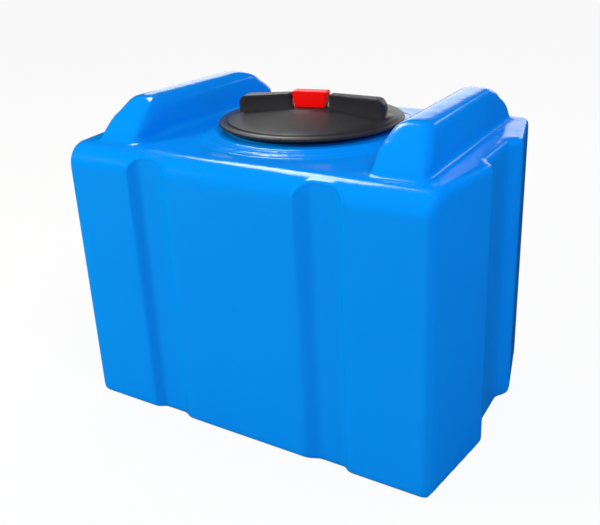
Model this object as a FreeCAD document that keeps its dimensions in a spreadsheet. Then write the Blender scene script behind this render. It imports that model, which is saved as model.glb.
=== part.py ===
"""Rotationally moulded water tank with two saddle humps, strap channels and a screw lid.

Millimetres, +Z up. The origin is the centre of the footprint on the floor. X runs along
the tank's length and -Y is the front. Both humps and all channels mirror about X = 0.
"""
import FreeCAD, Part
import math
import os
import re
import Sketcher

SIZES = [
    # The shell's footprint at the floor, its height and its wall.
    ("depth_half", 282.0), ("deck", 568.0), ("wall", 6.0),
    ("corner_front", 388.0), ("ridge_front", 420.0), ("ridge_front_y", 79.0),
    ("corner_rear", 379.0), ("ridge_rear", 418.0), ("ridge_rear_y", 102.0),
    ("pinch_x", 399.0), ("pinch_front_y", 55.0), ("pinch_rear_y", 76.0),
    ("brow_round", 44.0), ("edge_round", 13.0), ("ridge_round", 22.0), ("pinch_round", 14.0),
    # The strap channels in the front and rear walls.
    ("strap_inner", 139.0), ("strap_outer", 232.0), ("strap_deep", 15.0),
    ("strap_inner_run", 27.0), ("strap_outer_run", 16.0), ("strap_round", 8.0),
    # The saddle humps.
    ("hump_inner", 253.0), ("hump_outer", 353.0), ("hump_rise", 77.0), ("inner_lean", 8.0),
    ("outer_lean", 14.0), ("hump_front", 50.0), ("nose_slope", 42.5), ("hump_rear", 22.0),
    ("tail_run", 66.0), ("tail_slope", 38.0), ("ease_run", 84.0), ("ease_slope", 17.0),
    ("toe_in", 0.8), ("shoulder_round", 27.0), ("hump_edge", 12.0), ("foot_round", 8.0),
    # The collar and neck, on the lid's centre.
    ("lid_y", 25.0), ("collar_outer", 234.0), ("collar_mid", 221.0), ("collar_inner", 204.0),
    ("low_step", 1.3), ("mid_step", 4.2), ("collar_rise", 8.0), ("step_round", 1.2),
    ("neck_outer", 172.0), ("neck_rise", 12.0), ("neck_round", 2.0),
    # The screw lid, its heights counted from the neck's rim.
    ("lid_outer", 190.0), ("rim_rise", 4.5), ("rim_thick", 8.5), ("rim_round", 3.0),
    ("skirt_drop", 9.0), ("thread_gap", 4.0), ("skirt_thick", 6.0),
    ("disc_edge", 172.0), ("disc_rise", 8.0), ("dome_rise", 25.0), ("land_outer", 35.0),
    ("land_drop", 0.8), ("lid_thick", 4.0), ("lid_angle", 11.0),
    # The two half bars of the grip.
    ("bar_start", 40.0), ("bar_end", 158.0), ("bar_start_half", 12.0), ("bar_end_half", 20.0),
    ("bar_rise", 28.0), ("bar_fall", 8.0), ("bar_start_round", 8.0), ("bar_end_round", 14.0),
    ("bar_edge", 5.0),
    # The sealing ring.
    ("seal_thick", 3.0), ("seal_wide", 7.0),
    # The vent in the middle of the lid.
    ("cap_rise", 33.0), ("cap_top_half", 37.5), ("cap_low_half", 31.5), ("cap_deep", 28.0),
    ("cap_edge", 3.0), ("vent_hole", 9.0), ("plug_gap", 0.3), ("stem_outer", 4.0),
    ("flap_outer", 15.0), ("flap_thick", 1.6), ("stem_head", 6.5), ("head_thick", 2.0),
]

# Heights that follow from the sizes above, each counted from the piece it stands on.
COLLAR_TOP = "(deck + collar_rise)"
NECK_TOP = "(deck + collar_rise + neck_rise)"
DOME_TOP = "(deck + collar_rise + neck_rise + dome_rise)"
LID_UNDER = "(deck + collar_rise + neck_rise + dome_rise - lid_thick)"
BAR_TOP = "(deck + collar_rise + neck_rise + dome_rise + bar_rise)"
CAP_TOP = "(deck + collar_rise + neck_rise + dome_rise + cap_rise)"

FUNCTIONS = ("sin", "cos", "tan", "deg")
SHARP = math.radians(12)


def bound(text):
    """Point each size named in an expression at its cell in the sheet."""
    def cell(match):
        word = match.group(0)
        return word if word in FUNCTIONS else "Sizes." + word
    return re.sub(r"[a-z_]+", cell, text)


def number(text):
    """Value of an expression in the sheet's sizes."""
    value = sheet.evalExpression(bound(text))
    return float(getattr(value, "Value", value))


def make_sheet():
    page = doc.addObject("Spreadsheet::Sheet", "Sizes")
    for row, (alias, value) in enumerate(SIZES, 1):
        page.set("A%d" % row, alias)
        page.set("B%d" % row, str(value))
        page.setAlias("B%d" % row, alias)
    doc.recompute()
    return page


def new_body(name):
    return doc.addObject("PartDesign::Body", name)


def origin_plane(body, role):
    return next(item for item in body.Origin.OriginFeatures if item.Role == role)


def place_sketch(body, name, role, lift):
    sketch = body.newObject("Sketcher::SketchObject", name)
    sketch.AttachmentSupport = [(origin_plane(body, role), "")]
    sketch.MapMode = "FlatFace"
    sketch.setExpression("AttachmentOffset.Base.z", bound(lift))
    return sketch


def bind(sketch, kind, expression, *where):
    """Add a dimension that follows the sheet."""
    index = sketch.addConstraint(Sketcher.Constraint(kind, *where, number(expression)))
    sketch.setExpression("Constraints[%d]" % index, bound(expression))


def bind_point(sketch, geo, end, corner):
    bind(sketch, "DistanceX", corner[0], -1, 1, geo, end)
    bind(sketch, "DistanceY", corner[1], -1, 1, geo, end)


def unit(start, end):
    step = end - start
    return step * (1.0 / step.Length)


def corner_arc(corner, before, after, radius):
    """Arc that rounds a corner: its shape, its two tangent points and its turn."""
    into, out = unit(before, corner), unit(corner, after)
    turn = into.cross(out).z
    reach = radius * math.tan(into.getAngle(out) / 2)
    start, end = corner - into * reach, corner + out * reach
    side = FreeCAD.Vector(-into.y, into.x, 0) * math.copysign(radius, turn)
    middle = start + side
    first, last = (start, end) if turn > 0 else (end, start)
    angles = [math.atan2(p.y - middle.y, p.x - middle.x) for p in (first, last)]
    circle = Part.Circle(middle, FreeCAD.Vector(0, 0, 1), radius)
    return Part.ArcOfCircle(circle, *angles), start, end, turn > 0


def draw_outline(sketch, corners):
    """Closed outline of straight edges. A corner is (across, up) or (across, up, radius)."""
    points = [FreeCAD.Vector(number(c[0]), number(c[1]), 0) for c in corners]
    count = len(corners)
    arcs = {}
    for i, corner in enumerate(corners):
        if len(corner) == 3:
            arcs[i] = corner_arc(points[i], points[i - 1], points[(i + 1) % count],
                                 number(corner[2]))
    lines = []
    for i in range(count):
        after = (i + 1) % count
        start = arcs[i][2] if i in arcs else points[i]
        end = arcs[after][1] if after in arcs else points[after]
        lines.append(sketch.addGeometry(Part.LineSegment(start, end)))
    for i, corner in enumerate(corners):
        if i in arcs:
            join_arc(sketch, arcs[i], lines[i - 1], lines[i], corner, points[i])
        else:
            sketch.addConstraint(
                Sketcher.Constraint("Coincident", lines[i - 1], 2, lines[i], 1))
            bind_point(sketch, lines[i], 1, corner)


def join_arc(sketch, rounding, line_in, line_out, corner, point):
    """Hold an arc tangent to its two lines, and the lines on the sharp corner."""
    shape, _, _, left = rounding
    arc = sketch.addGeometry(shape)
    apex = sketch.addGeometry(Part.Point(point), True)
    first, last = (1, 2) if left else (2, 1)
    sketch.addConstraint([
        Sketcher.Constraint("Tangent", line_in, 2, arc, first),
        Sketcher.Constraint("Tangent", arc, last, line_out, 1),
        Sketcher.Constraint("PointOnObject", apex, 1, line_in),
        Sketcher.Constraint("PointOnObject", apex, 1, line_out),
    ])
    bind_point(sketch, apex, 1, corner)
    bind(sketch, "Radius", corner[2], arc)


def outline(body, name, role, corners, lift="0"):
    sketch = place_sketch(body, name, role, lift)
    draw_outline(sketch, corners)
    return sketch


def add_feature(body, kind, name, sketch, **settings):
    feature = body.newObject("PartDesign::" + kind, name)
    feature.Profile = sketch
    for key, value in settings.items():
        if isinstance(value, str) and key in ("Length", "Angle"):
            feature.setExpression(key, bound(value))
        else:
            setattr(feature, key, value)
    return feature


def mirrored(right_side):
    """Close a half outline, listed front to rear, with its mirror image about X = 0."""
    left = [("-(%s)" % c[0],) + tuple(c[1:]) for c in reversed(right_side)]
    return right_side + left


def face_normal(face, point):
    u, v = face.Surface.parameter(point)
    return face.normalAt(u, v)


def bend_at(shape, edge):
    """Angle between the two faces that meet at an edge."""
    faces = shape.ancestorsOfType(edge, Part.Face)
    if len(faces) != 2:
        return 0.0
    first, last = edge.ParameterRange
    point = edge.valueAt((first + last) / 2)
    return face_normal(faces[0], point).getAngle(face_normal(faces[1], point))


def round_edges(body, name, radius, wanted):
    """Fillet the body's sharp edges whose middle point is wanted."""
    doc.recompute()
    base = body.Tip
    shape = base.Shape
    names = []
    for index, edge in enumerate(shape.Edges, 1):
        first, last = edge.ParameterRange
        if wanted(edge.valueAt((first + last) / 2)) and bend_at(shape, edge) > SHARP:
            names.append("Edge%d" % index)
    fillet = body.newObject("PartDesign::Fillet", name)
    fillet.Base = (base, names)
    fillet.setExpression("Radius", bound(radius))
    doc.recompute()
    return fillet


def end_outline(inset):
    """The shell's plan outline at the floor, pinched between two ridges at both ends."""
    front, rear = "-(depth_half - %s)" % inset, "depth_half - %s" % inset
    convex, hollow = "ridge_round - " + inset, "pinch_round + " + inset
    pinch = "pinch_x - " + inset
    return mirrored([
        ("corner_front - " + inset, front),
        ("ridge_front - " + inset, "-ridge_front_y", convex),
        (pinch, "-pinch_front_y", hollow), (pinch, "pinch_rear_y", hollow),
        ("ridge_rear - " + inset, "ridge_rear_y", convex),
        ("corner_rear - " + inset, rear)])


def strap_outline(end, side, inset):
    """Channel for a lashing strap, seen from above, with eased mouth and floor."""
    wall_y = "depth_half - %s" % inset
    floor_y = "depth_half - strap_deep - %s" % inset
    far_y = "depth_half + strap_deep"
    corners = [
        ("strap_inner - strap_inner_run", far_y),
        ("strap_inner - strap_inner_run", wall_y + " + 0.4"),
        ("strap_inner", wall_y, "strap_round"),
        ("strap_inner + strap_inner_run", floor_y, "strap_round"),
        ("strap_outer - strap_outer_run", floor_y, "strap_round"),
        ("strap_outer", wall_y, "strap_round"),
        ("strap_outer + strap_outer_run", wall_y + " + 0.4"),
        ("strap_outer + strap_outer_run", far_y),
    ]
    return [("%s(%s)" % (end, c[0]), "%s(%s)" % (side, c[1])) + tuple(c[2:]) for c in corners]


def block_body(name, inset):
    """The shell without humps or collar, moved in by the inset."""
    body = new_body(name)
    plan = outline(body, name + "_plan", "XY_Plane", end_outline(inset), inset)
    add_feature(body, "Pad", name + "_pad", plan, Length="deck - 2 * " + inset)
    top, front = number("deck - " + inset), number("-(depth_half - %s)" % inset)
    round_edges(body, name + "_brow", "brow_round - " + inset,
                lambda p: abs(p.z - top) < 0.1 and abs(p.y - front) < 0.1)
    round_edges(body, name + "_edges", "edge_round - " + inset, lambda p: True)
    for place, side in (("front", "-"), ("rear", "")):
        for end, sign in (("right", ""), ("left", "-")):
            tag = "_%s_%s_strap" % (place, end)
            sketch = outline(body, name + tag + "_plan", "XY_Plane",
                             strap_outline(sign, side, inset))
            add_feature(body, "Pocket", name + tag, sketch, Type="ThroughAll", Reversed=True)
    return body


def hump_section(inset):
    """Section across a hump: flat crest and two sides that lean in, from below the deck."""
    inner, outer = "inner_lean * 1 deg", "outer_lean * 1 deg"
    base, crest = "deck - brow_round", "deck + hump_rise - " + inset
    near = "hump_inner + %s / cos(%s)" % (inset, inner)
    far = "hump_outer - %s / cos(%s)" % (inset, outer)
    return [("%s - brow_round * tan(%s)" % (near, inner), base),
            ("%s + (hump_rise - %s) * tan(%s)" % (near, inset, inner), crest),
            ("%s - (hump_rise - %s) * tan(%s)" % (far, inset, outer), crest),
            ("%s + brow_round * tan(%s)" % (far, outer), base)]


def hump_nose(inset):
    """What the leaning front face takes off a hump, seen from the side."""
    slope = "nose_slope * 1 deg"
    foot = "hump_front - depth_half + %s / sin(%s)" % (inset, slope)
    low = "%s - brow_round / tan(%s)" % (foot, slope)
    near = "-(depth_half + 2 * brow_round)"
    return [(low, "deck - brow_round"),
            ("%s + 2 * hump_rise / tan(%s)" % (foot, slope), "deck + 2 * hump_rise"),
            (near, "deck + 2 * hump_rise"), (near, "deck - brow_round")]


def hump_fall(inset, run, angle):
    """What one sloping face of the tail takes off a hump, seen from the side."""
    slope = angle + " * 1 deg"
    crest = "deck + hump_rise - " + inset
    start = "depth_half - hump_rear - %s - %s * (1 - cos(%s)) / sin(%s)" % (
        run, inset, slope, slope)
    low = "%s - 2 * hump_rise * tan(%s)" % (crest, slope)
    above = crest + " + hump_rise"
    return [("%s - hump_rise / tan(%s)" % (start, slope), above),
            (start + " + 2 * hump_rise", low),
            (start + " + 4 * hump_rise", low), (start + " + 4 * hump_rise", above)]


def hump_body(name, inset):
    """The right hump, moved in by the inset, running along the tank."""
    body = new_body(name)
    section = outline(body, name + "_section", "XZ_Plane", hump_section(inset), "depth_half")
    add_feature(body, "Pad", name + "_pad", section, Reversed=True,
                Length="2 * depth_half - hump_rear - " + inset)
    for tag, profile in (("nose", hump_nose(inset)),
                         ("tail", hump_fall(inset, "tail_run", "tail_slope")),
                         ("ease", hump_fall(inset, "ease_run", "ease_slope"))):
        sketch = outline(body, "%s_%s" % (name, tag), "YZ_Plane", profile)
        add_feature(body, "Pocket", "%s_%s_cut" % (name, tag), sketch,
                    Type="ThroughAll", Midplane=True)
    crest, middle = number("deck + hump_rise - " + inset), number("(hump_inner + hump_outer) / 2")
    round_edges(body, name + "_shoulder", "shoulder_round - " + inset,
                lambda p: abs(p.z - crest) < 0.01 and p.x < middle and abs(p.y) < middle / 2)
    floor = number("deck - brow_round") + 1
    round_edges(body, name + "_edges", "hump_edge - " + inset, lambda p: p.z > floor)
    turn_about(body, "toe_in", "(hump_inner + hump_outer) / 2", "hump_front - depth_half")
    return body


def turn_about(item, angle, x, y):
    """Turn a piece about an upright axis through (x, y)."""
    turn = angle + " * 1 deg"
    item.Placement.Rotation = FreeCAD.Rotation(FreeCAD.Vector(0, 0, 1), 1)
    item.setExpression("Placement.Rotation.Angle", bound(angle))
    item.setExpression("Placement.Base.x", bound(
        "(%s) * (1 - cos(%s)) + (%s) * sin(%s)" % (x, turn, y, turn)))
    item.setExpression("Placement.Base.y", bound(
        "(%s) * (1 - cos(%s)) - (%s) * sin(%s)" % (y, turn, x, turn)))


def mirror_part(source, name):
    copy = doc.addObject("Part::Mirroring", name)
    copy.Source = source
    copy.Normal = FreeCAD.Vector(1, 0, 0)
    return copy


def revolved(name, half_section):
    """Body of revolution about its own upright axis."""
    body = new_body(name)
    sketch = outline(body, name + "_section", "XZ_Plane", half_section)
    add_feature(body, "Revolution", name + "_turned", sketch,
                ReferenceAxis=(sketch, ["V_Axis"]), Angle="360")
    return body


def collar_section():
    """Stepped collar round the neck, and the neck itself."""
    return [
        ("0", "deck - edge_round"), ("collar_outer", "deck - edge_round"),
        ("collar_outer", "deck + low_step", "step_round"), ("collar_mid", "deck + low_step"),
        ("collar_mid", "deck + mid_step", "step_round"), ("collar_inner", "deck + mid_step"),
        ("collar_inner", COLLAR_TOP, "step_round"), ("neck_outer", COLLAR_TOP),
        ("neck_outer", NECK_TOP, "neck_round"), ("0", NECK_TOP)]


def bore_section():
    """The hollow under the collar and up through the neck."""
    return [
        ("0", "deck - 3 * wall"), ("collar_inner - wall", "deck - 3 * wall"),
        ("collar_inner - wall", COLLAR_TOP + " - wall"),
        ("neck_outer - wall", COLLAR_TOP + " - wall"),
        ("neck_outer - wall", NECK_TOP + " + wall"), ("0", NECK_TOP + " + wall")]


def fused(name, pieces):
    union = doc.addObject("Part::MultiFuse", name)
    union.Shapes = pieces
    return union


def on_lid_centre(item):
    item.setExpression("Placement.Base.y", bound("lid_y"))
    return item


def soften_feet(name, union, inset):
    """Ease the inside corner where the humps rise from the deck."""
    body = new_body(name)
    body.BaseFeature = union
    doc.recompute()
    level, side = number("deck - " + inset), number("collar_outer")
    round_edges(body, name + "_feet", "foot_round + " + inset,
                lambda p: abs(p.z - level) < 0.01 and on_hump_foot(p, side, inset))
    return body


def on_hump_foot(point, side, inset):
    front = number("hump_front - depth_half") - 1
    rear = number("depth_half - hump_rear") + 1
    return side < abs(point.x) < number("hump_outer") + 2 and front < point.y < rear


def tank_form(name, inset, turned):
    block = block_body(name + "_block", inset)
    hump = hump_body(name + "_hump", inset)
    humps = fused(name + "_humps", [block, hump, mirror_part(hump, name + "_hump_left")])
    softened = soften_feet(name + "_soft", humps, inset)
    return fused(name, [softened, on_lid_centre(revolved(name + "_collar", turned))])


def make_tank():
    """Hollow shell: the outer form less the form of the space inside it."""
    shell = doc.addObject("Part::Cut", "tank_shell")
    shell.Base = tank_form("outer", "0", collar_section())
    shell.Tool = tank_form("inner", "wall", bore_section())
    shell.Label = "tank_body"
    return shell


def turn_with_lid(item):
    item.Placement.Rotation = FreeCAD.Rotation(FreeCAD.Vector(0, 0, 1), 1)
    item.setExpression("Placement.Rotation.Angle", bound("lid_angle"))
    return on_lid_centre(item)


def lid_section():
    """Upper side of the lid and its rim, filled down to the skirt's lower edge."""
    skirt = "neck_outer + thread_gap + skirt_thick"
    rim_top = NECK_TOP + " + rim_rise"
    return [
        ("0", NECK_TOP + " - skirt_drop"), (skirt, NECK_TOP + " - skirt_drop"),
        (skirt, rim_top + " - rim_thick"),
        ("lid_outer", rim_top + " - rim_thick", "rim_round / 2"),
        ("lid_outer", rim_top, "rim_round"), ("disc_edge + rim_round", rim_top),
        ("disc_edge", NECK_TOP + " + disc_rise", "rim_round"),
        ("land_outer + wall / 3", DOME_TOP + " - land_drop"), ("land_outer", DOME_TOP),
        ("0", DOME_TOP)]


def lid_underside():
    """Space under the lid: inside the skirt, over the sealing ring and under the dome."""
    low, seat = NECK_TOP + " - skirt_drop - wall", NECK_TOP + " + seal_thick"
    return [
        ("0", low), ("neck_outer + thread_gap", low), ("neck_outer + thread_gap", seat),
        ("neck_outer - 1.5 * seal_wide", seat),
        ("land_outer + wall / 3", LID_UNDER + " - land_drop"), ("land_outer", LID_UNDER),
        ("0", LID_UNDER)]


def bar_plan():
    """Both half bars from above: narrow at the vent, wide and round at the rim."""
    def half(sign):
        return [
            (sign + "bar_start", "-bar_start_half", "bar_start_round"),
            (sign + "bar_end", "-bar_end_half", "bar_end_round"),
            (sign + "bar_end", "bar_end_half", "bar_end_round"),
            (sign + "bar_start", "bar_start_half", "bar_start_round")]
    return half(""), half("-")


def bar_roof():
    """What lies above the sloping tops of the half bars, seen from the front."""
    low, high = BAR_TOP + " - bar_fall", CAP_TOP + " + wall"
    return [("-bar_end", low), ("-bar_start", BAR_TOP), ("bar_start", BAR_TOP),
            ("bar_end", low), ("bar_end + wall", low), ("bar_end + wall", high),
            ("-(bar_end + wall)", high), ("-(bar_end + wall)", low)]


def make_lid():
    """Round screw lid with its two half bars standing on the dome."""
    lid = revolved("lid", lid_section())
    for name, plan in zip(("right_bar", "left_bar"), bar_plan()):
        sketch = outline(lid, name + "_plan", "XY_Plane", plan, NECK_TOP + " + rim_rise")
        add_feature(lid, "Pad", name, sketch, Length="dome_rise + cap_rise - rim_rise")
    roof = outline(lid, "bar_roof", "XZ_Plane", bar_roof())
    add_feature(lid, "Pocket", "bar_tops", roof, Type="ThroughAll", Midplane=True)
    doc.recompute()
    level = number(BAR_TOP + " - bar_fall - bar_edge")
    round_edges(lid, "bar_edges", "bar_edge", lambda p: p.z > level)
    under = outline(lid, "lid_underside", "XZ_Plane", lid_underside())
    add_feature(lid, "Groove", "lid_hollow", under, ReferenceAxis=(under, ["V_Axis"]),
                Angle="360")
    hole = place_sketch(lid, "vent_hole", "XY_Plane", DOME_TOP)
    bind(hole, "Radius", "vent_hole", add_centre_circle(hole, "vent_hole"))
    add_feature(lid, "Pocket", "vent_bore", hole, Type="ThroughAll")
    lid.Label = "lid"
    return turn_with_lid(lid)


def add_centre_circle(sketch, radius):
    """Circle about the sketch's origin."""
    circle = sketch.addGeometry(
        Part.Circle(FreeCAD.Vector(), FreeCAD.Vector(0, 0, 1), number(radius)))
    sketch.addConstraint(Sketcher.Constraint("Coincident", circle, 3, -1, 1))
    return circle


def make_seal():
    """Rubber ring that lies on the neck's rim, under the lid."""
    inner, high = "neck_outer - seal_wide", NECK_TOP + " + seal_thick"
    seal = revolved("lid_gasket", [(inner, NECK_TOP), ("neck_outer", NECK_TOP),
                                   ("neck_outer", high), (inner, high)])
    seal.Label = "lid_gasket"
    return on_lid_centre(seal)


def cap_front():
    """The vent cap from the front: wider at the top than where it meets the lid."""
    return [("cap_low_half", DOME_TOP, "cap_edge"), ("cap_top_half", CAP_TOP, "cap_edge"),
            ("-cap_top_half", CAP_TOP, "cap_edge"), ("-cap_low_half", DOME_TOP, "cap_edge")]


def stem_section():
    """Plug through the lid, thin stem, and the head that holds the rubber flap."""
    flap_low = LID_UNDER + " - flap_thick"
    root = DOME_TOP + " + cap_edge"
    return [
        ("0", root), ("0", flap_low + " - head_thick"), ("stem_head", flap_low + " - head_thick"),
        ("stem_head", flap_low), ("stem_outer", flap_low), ("stem_outer", LID_UNDER),
        ("vent_hole - plug_gap", LID_UNDER), ("vent_hole - plug_gap", root)]


def make_vent():
    """Vent cap with its plug, and the rubber flap valve on the plug's stem."""
    cap = new_body("vent_cap")
    front = outline(cap, "cap_front", "XZ_Plane", cap_front())
    add_feature(cap, "Pad", "cap_block", front, Length="cap_deep", Midplane=True)
    doc.recompute()
    round_edges(cap, "cap_edges", "cap_edge * 0.6", lambda p: abs(p.y) > 1)
    stem = outline(cap, "cap_stem", "XZ_Plane", stem_section())
    add_feature(cap, "Revolution", "cap_plug", stem, ReferenceAxis=(stem, ["V_Axis"]),
                Angle="360")
    cap.Label = "vent_cap"
    flap_low = LID_UNDER + " - flap_thick"
    flap = revolved("vent_membrane", [("stem_outer", flap_low), ("flap_outer", flap_low),
                                      ("flap_outer", LID_UNDER), ("stem_outer", LID_UNDER)])
    flap.Label = "vent_membrane"
    return turn_with_lid(cap), on_lid_centre(flap)


def check_document():
    """Stop if any object failed or any shape is missing or broken."""
    for item in doc.Objects:
        if "Invalid" in item.State or "Error" in item.State:
            raise RuntimeError("%s failed: %s" % (item.Name, item.State))
    for item in pieces:
        if item.Shape.isNull() or not item.Shape.isValid():
            raise RuntimeError(item.Label + " has no sound shape")


doc = FreeCAD.newDocument("water_tank")
sheet = make_sheet()
pieces = [make_tank(), make_lid(), make_seal(), *make_vent()]
doc.recompute()
check_document()
os.makedirs("parts", exist_ok=True)
for piece in pieces:
    piece.Shape.exportStep("parts/%s.step" % piece.Label)
    box = piece.Shape.BoundBox
    print("%s: volume %.0f, solids %d, X %.1f..%.1f, Y %.1f..%.1f, Z %.1f..%.1f" % (
        piece.Label, piece.Shape.Volume, len(piece.Shape.Solids),
        box.XMin, box.XMax, box.YMin, box.YMax, box.ZMin, box.ZMax))
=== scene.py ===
"""Looks of the water tank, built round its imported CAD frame.

Metres, +Z up. The tank's front wall faces -Y, and the lid's axis stands at (0, LID_Y).
"""
import math

import bmesh
import bpy
from mathutils import Matrix, Vector


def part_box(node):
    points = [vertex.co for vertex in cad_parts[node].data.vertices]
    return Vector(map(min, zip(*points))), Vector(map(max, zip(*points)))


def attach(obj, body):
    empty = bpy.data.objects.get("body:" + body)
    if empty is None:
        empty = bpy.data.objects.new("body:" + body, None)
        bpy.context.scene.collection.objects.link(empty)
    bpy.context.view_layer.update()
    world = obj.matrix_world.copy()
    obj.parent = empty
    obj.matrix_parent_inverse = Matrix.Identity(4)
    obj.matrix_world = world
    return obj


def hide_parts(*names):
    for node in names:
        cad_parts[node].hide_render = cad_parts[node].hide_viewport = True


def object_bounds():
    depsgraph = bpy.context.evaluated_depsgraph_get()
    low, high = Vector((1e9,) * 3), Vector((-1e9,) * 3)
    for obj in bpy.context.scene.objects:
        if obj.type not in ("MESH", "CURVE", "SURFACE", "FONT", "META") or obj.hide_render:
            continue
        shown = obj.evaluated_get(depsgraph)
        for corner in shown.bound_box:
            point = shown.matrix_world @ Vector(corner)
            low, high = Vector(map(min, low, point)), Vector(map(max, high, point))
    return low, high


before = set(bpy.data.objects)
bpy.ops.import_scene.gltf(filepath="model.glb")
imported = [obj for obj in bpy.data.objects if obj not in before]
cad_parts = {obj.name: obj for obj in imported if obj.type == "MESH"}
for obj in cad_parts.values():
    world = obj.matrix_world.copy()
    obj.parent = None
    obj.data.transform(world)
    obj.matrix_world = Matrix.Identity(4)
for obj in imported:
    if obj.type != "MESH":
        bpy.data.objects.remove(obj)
cad_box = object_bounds()

# Heights and the lid's axis, from the sealing ring that lies on the neck's rim.
ring_low, ring_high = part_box("lid_gasket")
LID_Y = (ring_low.y + ring_high.y) / 2
NECK_TOP = ring_low.z
COLLAR_TOP = NECK_TOP - 0.012
DECK = NECK_TOP - 0.020

# Neck and collar. Each step of the collar has its radius, its rise and the width of its shoulder.
NECK_R = 0.172
BORE_R = 0.166
NECK_CUT = NECK_TOP - 0.004
COLLAR_R = 0.2362
COLLAR_RUN = 0.0592
COLLAR_FOOT = 0.556
COLLAR_POINTS = 60
COLLAR_STEPS = ((0.2342, 0.0014, 0.004), (0.221, 0.0028, 0.009), (0.204, 0.0038, 0.010))
THREAD_PITCH = 0.0045
THREAD_DEEP = 0.0016
THREAD_HALF = 0.24
THREAD_FLANK = 0.2
TURNED_STEPS = 180

# Skin of the tank: the size of its faces, its hole under the collar, and where the crests begin.
FACE_SIZE = 0.0055
HOLE_R = 0.184
HOLE_FROM = 0.5
CREST_FROM = 0.612

# Strap channels: the middle and the arch of their tops, and the bead round it.
CHANNEL_X = 0.1855
ARCH_FLAT = 0.0145
ARCH_Z = 0.524
WALL_Y = 0.255
BEAD_R = 0.034
BEAD_WIDE = 0.006
BEAD_HIGH = 0.0016
BEAD_RAISED_Z = 0.535

# Sloping noses of the humps.
NOSE_FOOT = DECK + 0.006
NOSE_RISE = 0.066
NOSE_SIDES = (0.24, 0.37)
NOSE_FADE_Y = 0.165
NOSE_FADE_RUN = 0.06
NOSE_SWELL = 0.0045
NOSE_FULLNESS = 0.7

# Lid: the edge of its rim and the ends of the two half bars of its grip.
RIM_R = 0.1815
RIM_SEAM = 0.5885
RIM_DEEP = 0.0045
RIM_LIFT = 0.0038
BAR_TURN = math.radians(11)
BAR_FOOT = 0.612
BAR_FROM = 0.03
END_FROM = 0.138
END_CUTS = 7
END_CUT_STEP = 0.0028
END_R = 0.020

# Studio.
FLOOR_HALF = 14.0
FLOOR_GREY = (0.62, 0.62, 0.62, 1)
FILL = (0.52, 0.52, 0.54, 1)
WHITE = (1, 1, 1, 1)
CAMERA_PLACE = (0.7757, -1.2720, 0.9341)
CAMERA_YAW = math.radians(30.35)
CAMERA_PITCH = math.radians(20.39)
CAMERA_ROLL = math.radians(-2.06)
CAMERA_LENS = 44.84
CAMERA_SHIFT = (-0.0373, -0.0772)


# Node trees.

class Value:
    """What one socket of a node gives. Its operators add Math nodes."""

    def __init__(self, nodes, socket):
        self.nodes, self.socket = nodes, socket

    def math(self, operation, first, second=0.0):
        return self.nodes.add("Math", {0: first, 1: second}, operation=operation)

    def __add__(self, other): return self.math("ADD", self, other)
    def __sub__(self, other): return self.math("SUBTRACT", self, other)
    def __mul__(self, other): return self.math("MULTIPLY", self, other)
    def __radd__(self, other): return self.math("ADD", other, self)
    def __rsub__(self, other): return self.math("SUBTRACT", other, self)
    def __rmul__(self, other): return self.math("MULTIPLY", other, self)
    def __abs__(self): return self.math("ABSOLUTE", self)

    def at_least(self, lowest):
        return self.math("MAXIMUM", self, lowest)

    def root(self):
        return self.math("SQRT", self)

    def ramp(self, low, high):
        """0 below low, 1 above high, smooth between."""
        return self.nodes.add("MapRange", {0: self, 1: low, 2: high}, interpolation_type="SMOOTHSTEP")


class Nodes:
    """The node tree of a material or of the world, with one method that adds a node."""

    def __init__(self, owner):
        owner.use_nodes = True
        self.tree = owner.node_tree

    def add(self, kind, sockets, gives=0, **settings):
        """Add a node: its settings first, then the values or links of its sockets."""
        node = self.tree.nodes.new("ShaderNode" + kind)
        for key, value in settings.items():
            setattr(node, key, value)
        for key, item in sockets.items():
            self.feed(node.inputs[key], item)
        return Value(self, node.outputs[gives])

    def feed(self, socket, item):
        """Link a value to a socket, or set a plain number or colour on it."""
        if isinstance(item, Value):
            self.tree.links.new(item.socket, socket)
        else:
            socket.default_value = item

    def end(self, name, shade):
        """Link the finished shade to the tree's output."""
        self.feed(self.tree.nodes[name].inputs[0], shade)


class Finish(Nodes):
    """One material: a Principled surface, its constants, and the nodes that vary it."""

    def __init__(self, name, **constants):
        self.material = bpy.data.materials.new(name)
        super().__init__(self.material)
        self.surface = self.tree.nodes["Principled BSDF"]
        for key, value in constants.items():
            self.surface.inputs[key.replace("_", " ")].default_value = value
        self.place = self.add("TexCoord", {}, gives="Object")

    def axis(self, name):
        """One coordinate of the place, in metres."""
        return self.add("SeparateXYZ", {0: self.place}, gives=name)

    def noise(self, scale, detail=2.0):
        """Soft noise from 0 to 1, scale in waves per metre."""
        return self.add("TexNoise", {"Vector": self.place, "Scale": scale, "Detail": detail}, gives="Fac")

    def colour(self, amount, first, last):
        """Base colour between the first and the last, by an amount from 0 to 1."""
        mixed = self.add("Mix", {0: amount, 6: (*first, 1), 7: (*last, 1)}, gives=2, data_type="RGBA")
        self.feed(self.surface.inputs["Base Color"], mixed)

    def rough(self, value):
        self.feed(self.surface.inputs["Roughness"], value)

    def relief(self, height, unit):
        """Bump by a height that is given in the unit, in metres."""
        self.feed(self.surface.inputs["Normal"], self.add("Bump", {"Height": height, "Distance": unit}))


# Materials.

def channel_lip(plastic):
    """A low bead round the arched top of each strap channel, fading down its sides."""
    front_or_rear = abs(plastic.axis("Y")).ramp(WALL_Y, WALL_Y + 0.007)
    across = (abs(abs(plastic.axis("X")) - CHANNEL_X) - ARCH_FLAT).at_least(0.0)
    above = (plastic.axis("Z") - ARCH_Z).at_least(0.0)
    outline = (across * across + above * above).root() - BEAD_R
    bead = 1 - abs(outline).ramp(0.0, BEAD_WIDE)
    return bead * plastic.axis("Z").ramp(0.34, 0.50) * front_or_rear


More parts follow.
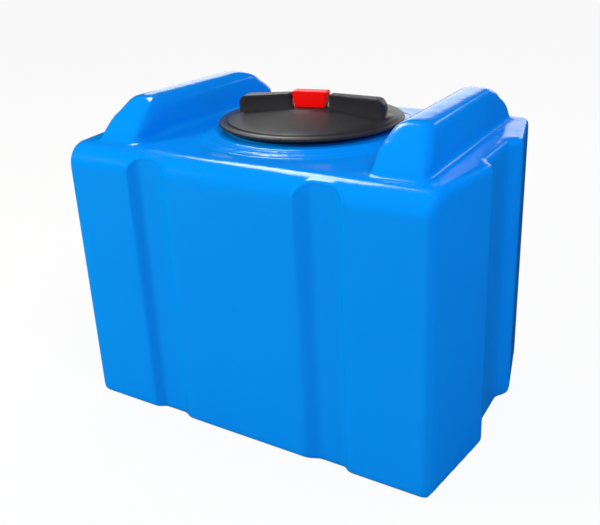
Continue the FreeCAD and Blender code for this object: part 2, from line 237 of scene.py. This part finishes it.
def tank_material():
    """Glossy rotomoulded plastic: a fine pebble, slow waves and slightly uneven colour."""
    plastic = Finish("tank_plastic", Specular_IOR_Level=0.24)
    plastic.colour(plastic.noise(4.0, 3.0), (0.0, 0.236, 0.82), (0.0, 0.262, 0.86))
    plastic.rough(0.11 + 0.07 * plastic.noise(60.0, 3.0))
    pebble = plastic.noise(420.0)
    waves = plastic.noise(16.0)
    plastic.relief(pebble * 0.02 + waves * 1.1 + channel_lip(plastic) * 0.8, 0.001)
    return plastic.material


def lid_material():
    """Black injection-moulded plastic with a fine spark-eroded grain."""
    plastic = Finish("lid_plastic", Specular_IOR_Level=0.34)
    plastic.colour(plastic.noise(30.0, 3.0), (0.020, 0.020, 0.022), (0.030, 0.029, 0.032))
    plastic.rough(0.33 + 0.10 * plastic.noise(90.0, 3.0))
    plastic.relief(plastic.noise(1400.0), 0.00006)
    return plastic.material


def vent_material():
    """Red moulded plastic, smoother than the lid."""
    plastic = Finish("vent_plastic", Specular_IOR_Level=0.3)
    plastic.colour(plastic.noise(40.0), (0.94, 0.0, 0.0), (1.0, 0.002, 0.0))
    plastic.rough(0.28 + 0.08 * plastic.noise(120.0))
    plastic.relief(plastic.noise(500.0), 0.00003)
    return plastic.material


def rubber_material():
    """Matt black rubber with a dusty bloom."""
    rubber = Finish("seal_rubber")
    rubber.colour(rubber.noise(80.0, 4.0), (0.012, 0.012, 0.012), (0.03, 0.03, 0.029))
    rubber.rough(0.70 + 0.15 * rubber.noise(200.0))
    rubber.relief(rubber.noise(900.0), 0.00005)
    return rubber.material


# Mesh helpers.

def add_piece(name, mesh, body, material):
    """Link a mesh as a piece that rides on a body."""
    piece = bpy.data.objects.new(name, mesh)
    bpy.context.scene.collection.objects.link(piece)
    mesh.materials.clear()
    mesh.materials.append(material)
    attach(piece, body)
    return piece


def welded(node):
    """The node's mesh as a bmesh with its doubled vertices merged."""
    mesh = bmesh.new()
    mesh.from_mesh(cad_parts[node].data)
    bmesh.ops.remove_doubles(mesh, verts=mesh.verts, dist=1e-5)
    return mesh


def finished(mesh, name):
    """The bmesh as a smooth mesh."""
    for face in mesh.faces:
        face.smooth = True
    data = bpy.data.meshes.new(name)
    mesh.to_mesh(data)
    mesh.free()
    return data


def cut(mesh, faces, place, normal, drop_above=False):
    """Divide the faces along a plane, and drop what lies above it where that is asked."""
    around = {part for face in faces for part in (*face.edges, *face.verts)}
    bmesh.ops.bisect_plane(mesh, geom=[*faces, *around], dist=1e-6, plane_co=place, plane_no=normal,
                           clear_outer=drop_above)


def soften(mesh, passes, wanted=lambda place: True):
    """Relax the wanted vertices a number of times."""
    verts = [v for v in mesh.verts if wanted(v.co)]
    for _ in range(passes):
        bmesh.ops.smooth_vert(mesh, verts=verts, factor=0.5,
                              use_axis_x=True, use_axis_y=True, use_axis_z=True)


def lid_radius(point):
    """Distance from the lid's axis."""
    return math.hypot(point.x, point.y - LID_Y)


def step(value, middle, width):
    """0 well below the middle, 1 well above it, smooth between."""
    part = min(1, max(0, (value - middle) / width + 0.5))
    return part * part * (3 - 2 * part)


# Tank.

def split_skin(mesh):
    """Cut the neck's rim away, keep the outer faces and return the inner ones as their own bmesh."""
    neck = [f for f in mesh.faces if f.calc_center_median().z > DECK - 0.02
            and lid_radius(f.calc_center_median()) < NECK_R + 0.004]
    cut(mesh, neck, (0, 0, NECK_CUT), (0, 0, 1), drop_above=True)
    underside = min(mesh.faces, key=lambda f: f.calc_center_median().z)
    seen, queue = {underside}, [underside]
    while queue:
        for edge in queue.pop().edges:
            for face in edge.link_faces:
                if face not in seen:
                    seen.add(face)
                    queue.append(face)
    for face in mesh.faces:
        face.tag = face in seen
    inside = mesh.copy()
    bmesh.ops.delete(inside, geom=[f for f in inside.faces if f.tag], context="FACES")
    bmesh.ops.delete(mesh, geom=[f for f in mesh.faces if not f.tag], context="FACES")
    return inside


def even(mesh, size):
    """The closed bmesh remade with faces of one size."""
    data = bpy.data.meshes.new("rough")
    mesh.to_mesh(data)
    mesh.free()
    rough = bpy.data.objects.new("rough", data)
    bpy.context.scene.collection.objects.link(rough)
    remesh = rough.modifiers.new("even", "REMESH")
    remesh.mode = "VOXEL"
    remesh.voxel_size = size
    bpy.context.view_layer.update()
    result = rough.evaluated_get(bpy.context.evaluated_depsgraph_get()).to_mesh()
    remade = bmesh.new()
    remade.from_mesh(result)
    bpy.data.objects.remove(rough)
    bpy.data.meshes.remove(data)
    return remade


def lip_height(place):
    """Height of the bead round a strap channel's arched top, as far as the wall has room for it."""
    across = max(0, abs(abs(place.x) - CHANNEL_X) - ARCH_FLAT)
    above = max(0, place.z - ARCH_Z)
    bead = 1 - step(abs(math.hypot(across, above) - BEAD_R), BEAD_WIDE / 2, BEAD_WIDE)
    return BEAD_HIGH * bead * step(place.z, BEAD_RAISED_Z, 0.02) * step(abs(place.y), WALL_Y, 0.008)


def raise_lips(mesh):
    """Raise the bead on the skin, on faces divided finely enough, and inside the solids' box."""
    near = [f for f in mesh.faces if any(lip_height(v.co) > 0 for v in f.verts)]
    bmesh.ops.subdivide_edges(mesh, edges=list({e for f in near for e in f.edges}), cuts=1,
                              use_grid_fill=True)
    mesh.normal_update()
    moves = [(v, v.normal * lip_height(v.co)) for v in mesh.verts]
    for vert, move in moves:
        vert.co += move
        vert.co.y = max(cad_box[0][1], min(cad_box[1][1], vert.co.y))


def swell_noses(mesh):
    """Give the humps' sloping noses the convex swell of a moulding."""
    mesh.normal_update()
    near, far = NOSE_SIDES
    moves = []
    for vert in mesh.verts:
        height = (vert.co.z - NOSE_FOOT) / NOSE_RISE
        if 0 < height < 1 and near < abs(vert.co.x) < far:
            fade = step(-vert.co.y, NOSE_FADE_Y, NOSE_FADE_RUN)
            swell = NOSE_SWELL * fade * math.sin(math.pi * height) ** NOSE_FULLNESS
            moves.append((vert, vert.normal * swell))
    for vert, move in moves:
        vert.co += move


def tank_skins(material):
    """The moulded outside, softened and dressed, and the inner faces as they are."""
    outside = welded("tank_body")
    inside = split_skin(outside)
    bmesh.ops.holes_fill(outside, edges=[e for e in outside.edges if e.is_boundary], sides=0)
    outside = even(outside, FACE_SIZE)
    soften(outside, 2)
    soften(outside, 8, lambda place: place.z > CREST_FROM)
    under_collar = [f for f in outside.faces if f.calc_center_median().z > HOLE_FROM
                    and lid_radius(f.calc_center_median()) < HOLE_R]
    bmesh.ops.delete(outside, geom=under_collar, context="FACES")
    swell_noses(outside)
    raise_lips(outside)
    skin = add_piece("tank_skin", finished(outside, "tank_skin"), "tank", material)
    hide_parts("tank_body")
    add_piece("tank_inside", finished(inside, "tank_inside"), "tank", material)


def collar_height(radius):
    """Height of the collar above the deck, in three soft steps."""
    return sum(rise * step(-radius, -middle, width) for middle, rise, width in COLLAR_STEPS)


def raise_thread(mesh):
    """Raise the thread on the neck's outside."""
    for vert in mesh.verts:
        radius = lid_radius(vert.co)
        if abs(radius - NECK_R) < 1e-4 and COLLAR_TOP + 0.002 < vert.co.z < NECK_TOP - 0.001:
            turn = math.atan2(vert.co.y - LID_Y, vert.co.x) / math.tau
            offset = ((vert.co.z - COLLAR_TOP) / THREAD_PITCH - turn + 0.5) % 1 - 0.5
            ridge = THREAD_DEEP * step(-abs(offset), -THREAD_HALF, THREAD_FLANK)
            vert.co.x *= 1 + ridge / radius
            vert.co.y += (vert.co.y - LID_Y) * ridge / radius


def neck_and_collar(material):
    """Stepped rings round the filler neck, and the neck with its thread, turned in one piece."""
    radii = [COLLAR_R - COLLAR_RUN * index / COLLAR_POINTS for index in range(COLLAR_POINTS + 1)]
    profile = [(COLLAR_R, COLLAR_FOOT)]
    profile += [(radius, DECK + collar_height(radius)) for radius in radii]
    profile += [(NECK_R + 0.0028, COLLAR_TOP + 0.0002), (NECK_R + 0.0012, COLLAR_TOP + 0.0008),
                (NECK_R + 0.0002, COLLAR_TOP + 0.0018)]
    profile += [(NECK_R, COLLAR_TOP + 0.0025 + 0.0005 * row) for row in range(16)]
    profile += [(NECK_R - 0.0005, NECK_TOP - 0.0010), (NECK_R - 0.0012, NECK_TOP - 0.0003),
                (NECK_R - 0.0022, NECK_TOP), (BORE_R + 0.0020, NECK_TOP),
                (BORE_R + 0.0009, NECK_TOP - 0.0003), (BORE_R + 0.0002, NECK_TOP - 0.0010),
                (BORE_R, NECK_TOP - 0.0020), (BORE_R, NECK_CUT)]
    mesh = bmesh.new()
    verts = [mesh.verts.new((radius, LID_Y, height)) for radius, height in profile]
    line = [mesh.edges.new(pair) for pair in zip(verts, verts[1:])]
    bmesh.ops.spin(mesh, geom=verts + line, cent=(0, LID_Y, 0), axis=(0, 0, 1), angle=math.tau,
                   steps=TURNED_STEPS, use_merge=True)
    raise_thread(mesh)
    bmesh.ops.recalc_face_normals(mesh, faces=mesh.faces)
    rim = max(mesh.faces, key=lambda face: face.calc_center_median().z)
    if rim.normal.z < 0:
        bmesh.ops.reverse_faces(mesh, faces=mesh.faces)
    add_piece("neck_collar", finished(mesh, "neck_collar"), "tank", material)


# Lid.

def round_bar_ends(mesh):
    """Round the outer ends of the two half bars over, on faces divided for it."""
    along = Vector((math.cos(BAR_TURN), math.sin(BAR_TURN), 0))
    centre = Vector((0, LID_Y, 0))
    for side in (-1, 1):
        for index in range(END_CUTS):
            bar = [f for f in mesh.faces if f.calc_center_median().z > BAR_FOOT
                   and side * along.dot(f.calc_center_median() - centre) > BAR_FROM]
            cut(mesh, bar, centre + along * side * (END_FROM + END_CUT_STEP * index), along)
    for vert in mesh.verts:
        past = min(END_R - 0.0005, abs(along.dot(vert.co - centre)) - END_FROM)
        if past > 0 and vert.co.z > BAR_FOOT:
            drop = END_R - math.sqrt(END_R ** 2 - past ** 2)
            vert.co.z -= drop * min(1, (vert.co.z - BAR_FOOT) / END_R)


def thin_rim(mesh):
    """Raise the underside of the rim's edge, and leave its top."""
    for vert in mesh.verts:
        if lid_radius(vert.co) > RIM_R and vert.co.z < RIM_SEAM:
            vert.co.z += RIM_LIFT * (RIM_SEAM - vert.co.z) / RIM_DEEP


def lid_moulding(material):
    """The lid with its rim thinned and the ends of its bars rounded over."""
    mesh = welded("lid")
    round_bar_ends(mesh)
    thin_rim(mesh)
    bmesh.ops.triangulate(mesh, faces=[f for f in mesh.faces if len(f.verts) > 4])
    lid = add_piece("lid_moulding", finished(mesh, "lid_moulding"), "lid", material)
    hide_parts("lid")


tank_blue = tank_material()
lid_black = lid_material()
vent_red = vent_material()
seal_rubber = rubber_material()
for node, material in (("tank_body", tank_blue), ("lid", lid_black), ("vent_cap", vent_red),
                       ("lid_gasket", seal_rubber), ("vent_membrane", seal_rubber)):
    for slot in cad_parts[node].material_slots:
        slot.material = material
tank_skins(tank_blue)
neck_and_collar(tank_blue)
lid_moulding(lid_black)


# Studio.

def add_light(name, place, target, size, power, tint=(1, 1, 1), lights=True, shines=True):
    """Soft rectangular light that faces its target. It lights surfaces, shows in their gloss, or both."""
    data = bpy.data.lights.new(name, "AREA")
    data.shape = "RECTANGLE"
    data.size, data.size_y = size
    data.energy = power
    data.color = tint
    light = bpy.data.objects.new(name, data)
    light.visible_camera = False
    light.visible_diffuse = lights
    light.visible_glossy = shines
    light.location = place
    light.rotation_euler = (Vector(target) - light.location).to_track_quat("-Z", "Y").to_euler()
    bpy.context.scene.collection.objects.link(light)


def add_world():
    """White for the eye, an even fill for surfaces, and nothing in reflections."""
    world = bpy.data.worlds.new("studio")
    world.cycles_visibility.glossy = False
    bpy.context.scene.world = world
    nodes = Nodes(world)
    seen = nodes.add("LightPath", {}, gives="Is Camera Ray")
    fill = nodes.add("Background", {0: FILL})
    white = nodes.add("Background", {0: WHITE})
    nodes.end("World Output", nodes.add("MixShader", {0: seen, 1: fill, 2: white}))


def add_floor():
    """Pale floor: nearly white to the eye with a faint shadow, and dark in reflections."""
    mesh = bmesh.new()
    bmesh.ops.create_grid(mesh, x_segments=1, y_segments=1, size=FLOOR_HALF)
    data = bpy.data.meshes.new("floor")
    mesh.to_mesh(data)
    mesh.free()
    floor = bpy.data.objects.new("floor", data)
    bpy.context.scene.collection.objects.link(floor)
    pale = Finish("floor", Base_Color=FLOOR_GREY, Roughness=0.9)
    shade = Value(pale, pale.surface.outputs[0])
    for ray, level, share in (("Is Glossy Ray", 0.01, 1.0), ("Is Camera Ray", 1.02, 0.9)):
        glow = pale.add("Emission", {"Strength": level})
        part = share * pale.add("LightPath", {}, gives=ray)
        shade = pale.add("MixShader", {0: part, 1: shade, 2: glow})
    pale.end("Material Output", shade)
    data.materials.append(pale.material)


def add_camera():
    """The photograph's point of view, in the tank's own frame."""
    ahead = Vector((-math.sin(CAMERA_YAW) * math.cos(CAMERA_PITCH),
                    math.cos(CAMERA_YAW) * math.cos(CAMERA_PITCH), -math.sin(CAMERA_PITCH)))
    level = Vector((math.cos(CAMERA_YAW), math.sin(CAMERA_YAW), 0))
    upright = level.cross(ahead)
    right = level * math.cos(CAMERA_ROLL) + upright * math.sin(CAMERA_ROLL)
    up = upright * math.cos(CAMERA_ROLL) - level * math.sin(CAMERA_ROLL)
    data = bpy.data.cameras.new("camera")
    data.lens = CAMERA_LENS
    data.shift_x, data.shift_y = CAMERA_SHIFT
    camera = bpy.data.objects.new("camera", data)
    turned = Matrix((right, up, -ahead)).transposed().to_4x4()
    camera.matrix_world = Matrix.Translation(CAMERA_PLACE) @ turned
    bpy.context.scene.collection.objects.link(camera)
    bpy.context.scene.camera = camera


add_world()
add_floor()
add_light("key", (-2.6, -2.2, 2.0), (0, 0, 0.35), (1.0, 1.0), 96, (1.0, 1.0, 0.75), shines=False)
add_light("side", (1.6, -0.9, 2.5), (0, 0, 0.5), (1.2, 1.2), 38, (0.86, 0.84, 1.0), shines=False)
add_light("top", (-1.15, 0.85, 2.4), (0, 0, 0.55), (0.7, 1.0), 30, lights=False)
add_light("edge", (0.9, 2.6, 1.8), (0.4, 0, 0.6), (0.6, 0.4), 1.8, lights=False)
add_light("backdrop", (-0.9, 2.6, 1.0), (-0.3, 0, 0.7), (3.4, 0.7), 14)
add_camera()
bpy.context.scene.view_settings.view_transform = "Standard"
